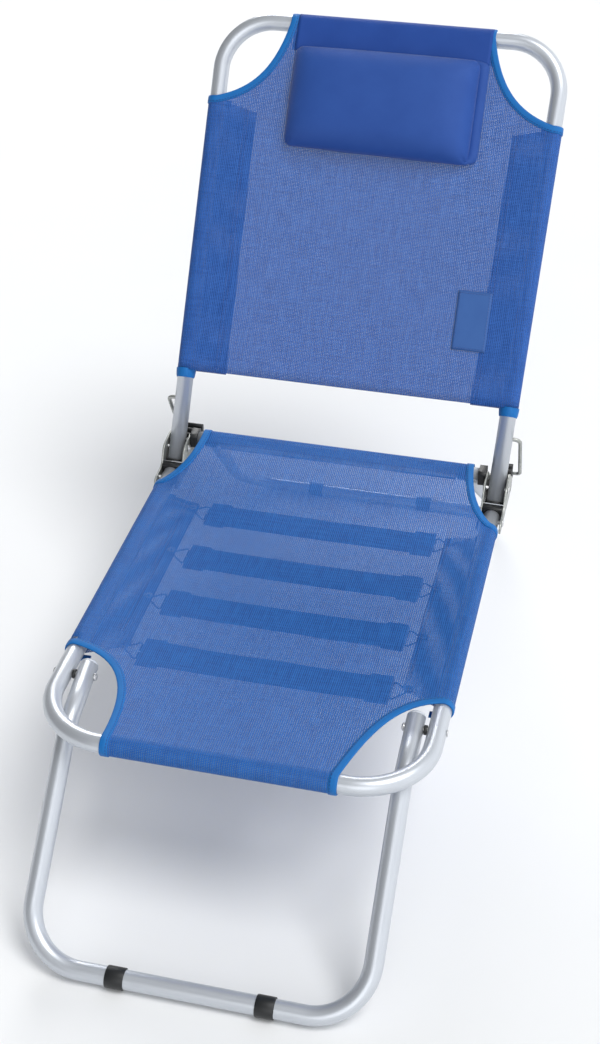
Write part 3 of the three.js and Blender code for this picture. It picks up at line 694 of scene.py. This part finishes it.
def seat_rows():
    """Rows (left, right, along, out or None for the seat's own height) from the front flap back."""
    cuts = {side: cut_edge(SEAT_FRONT[side], seat_half, 0.0) for side in (-1, 1)}
    rear = cut_edge(SEAT_REAR, seat_half, BAR_ALONG)
    left, right = cuts[-1][-1][0], cuts[1][-1][0]
    rows = [(left, right, HEM_TURN - 0.008 * i, -CLOTH_TUBE) for i in range(4)]
    rows += [(left, right, along, out) for along, out, _ in arc(0, 0, CLOTH_TUBE, 270, 90, 14)][:-1]
    places = sorted({round(along, 6) for cut in cuts.values() for _, along in cut})
    rows += [(width_at(cuts[-1], along), width_at(cuts[1], along), along, None) for along in places]
    first, last = places[-1], rear[0][1]
    rows += [(RAIL_X, RAIL_X, first + (last - first) * i / 28, None) for i in range(1, 28)]
    rows += [(half, half, along, None) for half, along in rear]
    wrap = list(arc(BAR_ALONG, BAR_LIFT, CLOTH_BAR, 90, -110, 14))[1:]
    rows += [(SEAT_REAR_HALF, SEAT_REAR_HALF, along, out) for along, out, _ in wrap]
    return rows, cuts, rear


COLUMNS = 84


def add_panel(cloth, rows, place, height):
    """The cloth's main grid; returns the pattern length at each row."""
    def spot(x, along, out):
        return (x, along, height(x, along) if out is None else out)

    reach = lengths([Vector(spot(0, along, out)) for _, _, along, out in rows])
    grid = []
    for (left, right, along, out), v in zip(rows, reach):
        places = [-left + (left + right) * k / COLUMNS for k in range(COLUMNS + 1)]
        grid.append([(place(*spot(x, along, out)), x, v) for x in places])
    cloth.patch(grid)
    return reach


def add_sleeve(cloth, side, samples, place, half_at, flap_from, flap_to):
    """A side's sleeve round its tube and the flap that turns inwards beneath it."""
    half_turn = CLOTH_TUBE * math.pi
    widening, full = flap_from
    sleeve, flap = [], []
    for along, v in samples:
        centre = half_at(along)
        sleeve.append([
            (place(side * x, along, out), side * (centre + half_turn * i / 16), v)
            for i, (x, out, _) in enumerate(arc(centre, 0, CLOTH_TUBE, 90, -90, 16))])
        inner = FLAP_X + centre - RAIL_X
        if along < full:
            inner = centre - (centre - inner) * max(0.0, (along - widening) / (full - widening)) - 0.002
        if along > flap_to:
            inner = centre - 0.004
        flap.append([
            (place(side * x, along, -CLOTH_TUBE), side * (centre + half_turn + (centre - x)), v)
            for x in (centre + (inner - centre) * i / 8 for i in range(9))])
    cloth.patch(sleeve)
    cloth.patch(flap)


def seat_hole(point):
    """Openings for the rear leg's hubs, behind and below the crossbar."""
    if not 0.185 < abs(point.x) < 0.22:
        return False
    out = point.z - CROSSBAR.z
    along = point.y - CROSSBAR.y
    behind = along > 0 and out < 0.003
    below = along > -0.045 and out < -0.007
    return behind or below


# ---- back sling ----

BACK_FROM = 0.154
BACK_SAG = 0.005
BACK_CUT = ((0.280, 0.578), (0.200, 0.592), (0.170, 0.640), (0.155, 0.722))


def back_out(x, along):
    """The back cloth's height above the tubes' plane: full at the tubes, hollow between."""
    share = min(abs(x) / back_half(along), 1.0)
    sag = BACK_SAG * (1 - share**2) * math.sin(math.pi * min(max((along - 0.05) / 0.66, 0), 1))
    return CLOTH_TUBE - sag


def back_rows():
    """Rows like the seat's, from the back's lower edge up and over the top bar."""
    cut = cut_edge(BACK_CUT, back_half, BACK_LENGTH)
    last = cut[0][1]
    places = [BACK_FROM + (last - BACK_FROM) * i / 30 for i in range(30)]
    rows = [(back_half(along), back_half(along), along, None) for along in places]
    rows += [(half, half, along, None) for half, along in cut]
    top = cut[-1][0]
    wrap = list(arc(BACK_LENGTH, 0, CLOTH_TUBE, 90, -90, 14))[1:]
    rows += [(top, top, along, out) for along, out, _ in wrap]
    rows += [(top, top, BACK_LENGTH - 0.009 * i, -CLOTH_TUBE) for i in range(1, 5)]
    return rows, cut


# ---- both slings ----

PANELS = {"seat": (on_seat, seat_height, seat_half), "back": (on_back, back_out, back_half)}


def sling(body, rows, flap_from, flap_to, material, hole=None):
    """A body's cloth, with sleeves where it is as wide as the tubes; and the cloth's flat area."""
    place, height, half_at = PANELS[body]
    cloth = Cloth()
    reach = add_panel(cloth, rows, place, height)
    for edge, (_, side) in enumerate(SIDES):
        samples = [
            (row[2], v) for row, v in zip(rows, reach)
            if row[3] is None and row[edge] >= half_at(row[2]) - 1e-9]
        add_sleeve(cloth, side, samples, place, half_at, flap_from, flap_to)
    piece = cloth.build(f"{body}_sling_cloth", body, hole, MESH_THICKNESS)
    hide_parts(f"{body}_sling")
    return finish_in(piece, material), cloth.flat_area()


seat_table, seat_front_cuts, seat_rear_cut = seat_rows()
back_table, back_cut = back_rows()
seat_sling, seat_area = sling("seat", seat_table, (0.176, 0.208), 0.557, seat_mesh, seat_hole)
back_sling, back_area = sling("back", back_table, (0.0, 0.01), 0.576, back_mesh)

# ---- bound edges ----


def with_frames(edge):
    """Turns each (point, normal, towards) into (point, normal, inward), square to the edge."""
    points = [point for point, _, _ in edge]
    framed = []
    for i, (point, normal, towards) in enumerate(edge):
        along = heading(points, i)
        normal = (normal - along * normal.dot(along)).normalized()
        inward = along.cross(normal)
        framed.append((point, normal, -inward if inward.dot(towards) < 0 else inward))
    return framed


def cut_binding(end, body, side_name, side, cut, bar, turn_over):
    """Tape along one cut-out: round the end bar, along the curve, then round the side tube."""
    place, height, half_at = PANELS[body]
    bar_along, bar_out, bar_radius, start, stop = bar
    up = (place(0, 0, 1) - place(0, 0, 0)).normalized()
    on = (place(0, 1, 0) - place(0, 0, 0)).normalized()
    outward, cloth_way = Vector((side, 0, 0)), on * turn_over
    edge = []
    for along, out, angle in arc(bar_along, bar_out, bar_radius, start, stop, 17):
        normal = on * math.cos(angle) + up * math.sin(angle)
        edge.append((place(side * cut[-1][0], along, out), normal, -outward))
    for half, along in cut[:-1][::-1]:
        edge.append((place(side * half, along, height(half, along)), up, cloth_way - outward))
    side_along = cut[0][1]
    centre = half_at(side_along)
    for x, out, angle in list(arc(centre, 0, CLOTH_TUBE, 90, -90, 14))[1:]:
        normal = outward * math.cos(angle) + up * math.sin(angle)
        edge.append((place(side * x, side_along, out), normal, cloth_way))
    edge.append((place(side * (centre - 0.018), side_along, -CLOTH_TUBE), -up, cloth_way))
    piece = ribbon(f"{end}_binding_{side_name}", with_frames(edge), body)
    return finish_in(piece, tape)


SLEEVE_END = 0.149
SLEEVE_RING = [
    (0.0131, -0.0075), (0.0137, -0.0078), (0.0146, -0.0045), (0.0152, 0.001),
    (0.0154, 0.0065), (0.0149, 0.0068), (0.0141, 0.001), (0.0131, -0.004),
]
front_bar = (0.0, 0.0, CLOTH_TUBE, 275, 90)
rear_bar = (BAR_ALONG, BAR_LIFT, CLOTH_BAR, -60, 90)
top_bar = (BACK_LENGTH, 0.0, CLOTH_TUBE, -88, 90)
bindings = {"seat": [], "back": []}
for side_name, side in SIDES:
    front_cut = seat_front_cuts[side]
    for end, body, cut, bar, turn_over in (
        ("front", "seat", front_cut, front_bar, 1),
        ("rear", "seat", seat_rear_cut, rear_bar, -1),
        ("back", "back", back_cut, top_bar, -1),
    ):
        bindings[body].append(cut_binding(end, body, side_name, side, cut, bar, turn_over))
    low = on_back(side * back_half(SLEEVE_END), SLEEVE_END, 0)
    direction = on_back(side * back_half(0.2), 0.2, 0) - low
    ring = revolve(f"sleeve_end_{side_name}", SLEEVE_RING, low, direction, "back")
    bindings["back"].append(finish_in(ring, tape))

# ---- sewn rows ----

STITCH_LIFT = 0.0005
ROW_SPANS = {"seat": (0.205, 0.350), "back": (0.158, 0.415)}


def seam(name, body, points, facing=1):
    """A sewn row on the seat or the back; facing is 1 on the cloth's upper face, -1 beneath."""
    place = PANELS[body][0]
    up = (place(0, 0, 1) - place(0, 0, 0)).normalized() * facing
    path = [(place(x, along, out) + up * STITCH_LIFT, up) for x, along, out in points]
    return finish_in(stitches(name, path, body), thread)


def line_across(half, along, height, count=24):
    """Points of a row that runs from side to side."""
    places = [half * (2 * i / count - 1) for i in range(count + 1)]
    return [(x, along, height(x, along)) for x in places]


def beneath(x, along):
    return -CLOTH_TUBE


seams = {
    "seat": [
        seam("front_hem", "seat", line_across(0.140, 0.026, beneath), -1),
        seam("rear_hem", "seat", line_across(0.205, BAR_ALONG - 0.020, seat_height)),
    ],
    "back": [seam("top_hem", "back", line_across(0.150, BACK_LENGTH - 0.033, back_out))],
}
for side_name, side in SIDES:
    for inset in (0.0, 0.005):
        for body, (start, reach) in ROW_SPANS.items():
            _, height, half_at = PANELS[body]
            points = []
            for i in range(31):
                along = start + reach * i / 30
                x = side * (FLAP_X + half_at(along) - RAIL_X + 0.006 + inset)
                points.append((x, along, height(x, along)))
            row_name = f"{body}_row_{side_name}_{round(inset * 1000)}"
            seams[body].append(seam(row_name, body, points))

# ---- pillow ----

PILLOW_CENTRE = (-0.001, 0.5905)
PILLOW_SIZE = (0.288, 0.158)
PILLOW_DEPTH = 0.042
PILLOW_CORNER = 0.013
PILLOW_DROOP = 0.003
DOME_HEIGHT = 0.030
AIR_FRAMES = 20
AIR_LIMIT = 0.014
AIR_SETTINGS = {
    "quality": 6, "mass": 0.2, "use_pressure": True, "uniform_pressure_force": 4.0,
    "tension_stiffness": 12, "compression_stiffness": 12, "bending_stiffness": 1.5,
    "vertex_group_mass": "back",
}


def pillow_point(u, v, inset=0.0):
    """A place on the pillow's plan, u and v from -1 to 1: straight sides and round corners."""
    half_x, half_y = PILLOW_SIZE[0] / 2 - inset, PILLOW_SIZE[1] / 2 - inset
    straight_x, straight_y = half_x - PILLOW_CORNER, half_y - PILLOW_CORNER
    x, y = u * half_x, v * half_y
    over_x, over_y = abs(x) - straight_x, abs(y) - straight_y
    if over_x > 0 and over_y > 0:
        pull = max(over_x, over_y) / math.hypot(over_x, over_y)
        x = math.copysign(straight_x + over_x * pull, x)
        y = math.copysign(straight_y + over_y * pull, y)
    return x, y


def pillow_place(x, y, out):
    """A point of the pillow's plan on the back: the pillow hangs a little lower on its right."""
    droop = PILLOW_DROOP * (x / 0.15) * (0.5 - y / 0.16)
    return on_back(PILLOW_CENTRE[0] + x, PILLOW_CENTRE[1] + y - droop, out)


def pillow_cover():
    """The sewn cover before it is filled: a low dome over a flat back, closed at its seam."""
    across, along = 56, 32
    verts, faces = [], []
    for layer in (1, 0):
        for j in range(along + 1):
            for i in range(across + 1):
                u = math.sin(math.pi / 2 * (2 * i / across - 1))
                v = math.sin(math.pi / 2 * (2 * j / along - 1))
                x, y = pillow_point(u, v)
                dome = (max(0.0, 1 - abs(u) ** 5) * max(0.0, 1 - abs(v) ** 4)) ** 0.5
                verts.append(Vector((x, y, DOME_HEIGHT * dome * layer)))
    wide = across + 1
    total = wide * (along + 1)
    for j in range(along):
        for i in range(across):
            a = j * wide + i
            faces.append((a, a + 1, a + wide + 1, a + wide))
            faces.append((total + a, total + a + wide, total + a + wide + 1, total + a + 1))
    piece = add_mesh("pillow_cover", verts, faces)
    clean(piece, 1e-4)
    return piece


def fill_with_air(piece):
    """Swells a closed mesh under pressure as cloth, pinned at its flat back, up to a limit."""
    start = [vert.co.copy() for vert in piece.data.vertices]
    group = piece.vertex_groups.new(name="back")
    group.add([vert.index for vert in piece.data.vertices if vert.co.z < 0.002], 1.0, "REPLACE")
    cloth = piece.modifiers.new("cloth", "CLOTH")
    for key, value in AIR_SETTINGS.items():
        setattr(cloth.settings, key, value)
    cloth.settings.effector_weights.gravity = 0
    scene = bpy.context.scene
    for number in range(1, AIR_FRAMES + 1):
        scene.frame_set(number)
    graph = bpy.context.evaluated_depsgraph_get()
    swollen = [vert.co.copy() for vert in piece.evaluated_get(graph).data.vertices]
    piece.modifiers.remove(cloth)
    scene.frame_set(1)
    for vert, was, now in zip(piece.data.vertices, start, swollen):
        move = now - was
        if move.length > AIR_LIMIT:
            move *= AIR_LIMIT / move.length
        vert.co = was + move


def make_pillow():
    """The filled cover, scaled to its depth and laid on the back's cloth."""
    piece = pillow_cover()
    fill_with_air(piece)
    scale = PILLOW_DEPTH / max(vert.co.z for vert in piece.data.vertices)
    low = CLOTH_TUBE + 0.0012
    for vert in piece.data.vertices:
        x, y, z = vert.co
        vert.co = pillow_place(x, y, low + max(z * scale, 0))
    bpy.ops.object.select_all(action="DESELECT")
    piece.select_set(True)
    bpy.context.view_layer.objects.active = piece
    finer = piece.modifiers.new("finer", "SUBSURF")
    finer.levels = finer.render_levels = 1
    bpy.ops.object.modifier_apply(modifier="finer")
    smooth(piece.data)
    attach(piece, "back")
    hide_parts("pillow")
    finish_in(piece, pillow_cloth)


def pillow_flange():
    """The flat doubled edge outside the pillow's seam, wide on the right and narrow elsewhere."""
    narrow, extra_right, under_seam = 0.0035, 0.013, 0.004
    inner, outer = [], []
    steps = 120
    for k in range(steps):
        angle = 2 * math.pi * k / steps
        u, v = math.cos(angle), math.sin(angle)
        size = max(abs(u), abs(v))
        x, y = pillow_point(u / size, v / size, 0.003)
        right = min(max((x - 0.10) / 0.04, 0), 1)
        direction = Vector((x / PILLOW_SIZE[0], y / PILLOW_SIZE[1])).normalized()
        if right > 0:
            direction = Vector((1, 0.25 * direction.y)).normalized()
        outward = back_frame.to_3x3() @ direction.to_3d()
        ripple = 0.0008 * math.sin(70 * y + 40 * x)
        inner.append(pillow_place(x, y, CLOTH_TUBE + 0.0030) - outward * under_seam)
        outer_edge = pillow_place(x, y, CLOTH_TUBE + 0.0035 + ripple)
        outer.append(outer_edge + outward * (narrow + extra_right * right))
    faces = [(i, (i + 1) % steps, steps + (i + 1) % steps, steps + i) for i in range(steps)]
    piece = add_mesh("pillow_flange", inner + outer, faces, None, "back")
    thicken(piece, 0.0018)
    finish_in(piece, pillow_cloth)


HANGER_LEFT = -0.147
HANGER_WIDTH = 0.302
HANGER_FROM = 0.662


def pillow_hanger():
    """The cloth that holds the pillow: from its top edge, over the top bar and down behind."""
    rows = []
    radius = CLOTH_TUBE + 0.0013
    profile = [(HANGER_FROM + (BACK_LENGTH - HANGER_FROM) * i / 8, radius) for i in range(8)]
    profile += [(along, out) for along, out, _ in arc(BACK_LENGTH, 0, radius, 90, -90, 14)]
    profile += [(BACK_LENGTH - 0.008 * i, -radius) for i in range(1, 5)]
    centre = lengths([Vector((0, along, out)) for along, out in profile])
    for (along, out), v in zip(profile, centre):
        ripple = 0.0005 if along < 0.69 and out > 0 else 0
        places = [HANGER_LEFT + HANGER_WIDTH * k / 60 for k in range(61)]
        rows.append([(on_back(x, along, out + ripple * math.sin(x * 70)), x, v) for x in places])
    cloth = Cloth()
    cloth.patch(rows)
    piece = cloth.build("pillow_hanger", "back")
    finish_in(piece, hem_cloth)
    row_along = HANGER_FROM + 0.006
    row = seam("hanger_row", "back", [(x * 0.01, row_along, radius) for x in range(-14, 15)])


make_pillow()
pillow_flange()
pillow_hanger()

# ---- label ----

LABEL_LOW = (0.155, 0.232)
LABEL_SIZE = (0.052, 0.090)


def label_patch():
    """A blank sewn patch, a little raised inside its pressed edges."""
    left, low = LABEL_LOW
    width, height = LABEL_SIZE
    rows = []
    for i in range(19):
        along = low + height * i / 18
        rows.append([])
        for k in range(13):
            x = left + width * k / 12
            out = back_out(x, along) + (0.0015 if 0 < i < 18 and 0 < k < 12 else 0.0012)
            rows[-1].append((on_back(x, along, out), x, along))
    cloth = Cloth()
    cloth.patch(rows)
    piece = cloth.build("label_patch", "back")
    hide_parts("label")
    finish_in(piece, label_cloth)
    inset = 0.003
    corners = [(0, 0), (1, 0), (1, 1), (0, 1), (0, 0)]
    points = []
    for (u_from, v_from), (u_to, v_to) in zip(corners, corners[1:]):
        for i in range(8):
            u, v = u_from + (u_to - u_from) * i / 8, v_from + (v_to - v_from) * i / 8
            x = left + width * u + (inset if u < 0.5 else -inset)
            along = low + height * v + (inset if v < 0.5 else -inset)
            points.append((x, along, back_out(x, along) + 0.0015))
    row = seam("label_row", "back", points)


label_patch()

# ---- elastic straps ----

STRAP_HALF = 0.174
STRAP_WIDTH = 0.050
STRAP_LAP = 0.032


def seat_strap(number, y):
    """A strap with a doubled, sewn end at each side, a little hollow along its middle."""
    across = 11
    rings = []
    ends = [STRAP_HALF - STRAP_LAP, STRAP_HALF - 0.030, STRAP_HALF - 0.0015, STRAP_HALF]
    stations = [-x for x in reversed(ends)]
    stations += [ends[0] * (i / 10 - 1) for i in range(1, 20)]
    stations += ends
    for x in stations:
        doubled = abs(x) > STRAP_HALF - 0.031
        thick = 0.0044 if doubled else 0.0022
        if abs(x) > STRAP_HALF - 0.001:
            thick = 0.0030
        wide = STRAP_WIDTH + (0.005 if doubled else -0.001 * math.cos(x * 6))
        sag = -0.0015 * math.cos(math.pi * x / (2 * STRAP_HALF)) + 0.0004 * math.sin(40 * x + number)
        line = []
        for face in (1, -1):
            for k in range(across):
                share = face * (1 - 2 * k / (across - 1))
                out = face * (thick / 2 - 0.0004 * share**4)
                line.append(Vector((x, y + share * wide / 2, STRAP_Z + sag + out)))
        rings.append(line)
    piece = skin(f"elastic_strap_{number}", rings, "seat")
    piece.data.set_sharp_from_angle(angle=math.radians(50))
    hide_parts(f"seat_strap_{number}")
    return finish_in(piece, elastic)


for number, strap_along in enumerate(STRAP_ALONG, start=1):
    band = seat_strap(number, FRONT_Y + strap_along)
    for side_name, side in SIDES:
        for inset in (0.008, 0.024):
            x = side * (STRAP_HALF - inset)
            top = STRAP_Z - RAIL_Z + 0.0020
            points = [(x, strap_along + 0.002 * k, top) for k in range(-11, 12)]
            row_name = f"strap_{number}_row_{side_name}_{round(inset * 1000)}"
            seam(row_name, "seat", points)

# ---- hinges, racks, props and small pieces ----


def soften(node, width):
    """Rounds a CAD piece's edges and smooths its curved faces without changing its mesh."""
    smooth(node.data)
    weld = node.modifiers.new("weld", "WELD")
    weld.merge_threshold = 0.00001
    bevel = node.modifiers.new("edges", "BEVEL")
    bevel.width = width
    bevel.segments = 2
    bevel.limit_method = "ANGLE"
    bevel.angle_limit = math.radians(38)
    bevel.harden_normals = True


dark_steel = plated_steel("dark_steel", (0.03, 0.032, 0.034), (0.12, 0.12, 0.12), 0.32, 0.5)
LOOKS = {
    "zinc_steel": (zinc, 0.0004),
    "bright_steel": (bright, 0.0002),
    "black_plastic": (black, 0.0005),
    "grey_plastic": (grey, 0.0003),
}
slots = {row["node"]: row["material_slot"] for row in frame["record"]["subparts"]}
for node_name, node in frame["nodes"].items():
    if node.hide_render:
        continue
    material, edge = LOOKS[slots[node_name]]
    if node_name.startswith("strap_hook"):
        material = dark_steel
    wear(node, material)
    soften(node, edge)

# ---- floor, light and camera ----

bpy.ops.mesh.primitive_plane_add(size=60, location=(0, 0, 0))
floor = bpy.context.object
floor.name = "floor"
floor.data.materials.append(floor_paint())

bpy.context.scene.view_settings.view_transform = "Standard"


def studio_world():
    """Soft light all round, brighter low down and on the right, dimmer on the left."""
    world = bpy.data.worlds.new("studio")
    bpy.context.scene.world = world
    world.use_nodes = True
    nodes, links = world.node_tree.nodes, world.node_tree.links
    background = nodes["Background"]
    background.inputs["Color"].default_value = (0.95, 0.975, 1.0, 1.0)
    direction = nodes.new("ShaderNodeTexCoord")
    split = nodes.new("ShaderNodeSeparateXYZ")
    links.new(direction.outputs["Generated"], split.inputs[0])
    product = nodes.new("ShaderNodeMath")
    product.operation = "MULTIPLY"
    sideways, upward = ("X", -0.6, 0.6, 0.16, 1.2), ("Z", 0.25, 0.85, 1.0, 0.6)
    for slot, (axis, *values) in enumerate((sideways, upward)):
        ramp = nodes.new("ShaderNodeMapRange")
        ramp.interpolation_type = "SMOOTHSTEP"
        links.new(split.outputs[axis], ramp.inputs[0])
        for socket, value in zip(ramp.inputs[1:5], values):
            socket.default_value = value
        links.new(ramp.outputs[0], product.inputs[slot])
    links.new(product.outputs[0], background.inputs["Strength"])


studio_world()


def sun(name, direction, strength, spread):
    """A distant soft light that shines from the given direction."""
    data = bpy.data.lights.new(name, "SUN")
    data.energy = strength
    data.angle = math.radians(spread)
    light = new_object(name, data)
    light.rotation_euler = (-Vector(direction)).to_track_quat("-Z", "Y").to_euler()


sun("key", (0.50, -0.15, 1.1), 1.8, 30)
sun("window", (-0.25, 0.85, 0.46), 1.1, 25)
sun("front", (0.15, -0.9, 0.42), 0.55, 40)

CAMERA_YAW, CAMERA_PITCH = 0.2345, 0.6197
CAMERA_PLACE = (0.4476, FRONT_Y - 1.4545, RAIL_Z + 1.4534)
level = math.cos(CAMERA_PITCH)
forward = Vector((-math.sin(CAMERA_YAW) * level, math.cos(CAMERA_YAW) * level, -math.sin(CAMERA_PITCH)))
camera_data = bpy.data.cameras.new("camera")
camera_data.sensor_width = 36
camera_data.lens = 57.67
camera_data.clip_end = 100
camera = new_object("camera", camera_data)
camera.location = CAMERA_PLACE
camera.rotation_euler = forward.to_track_quat("-Z", "Y").to_euler()
bpy.context.scene.camera = camera
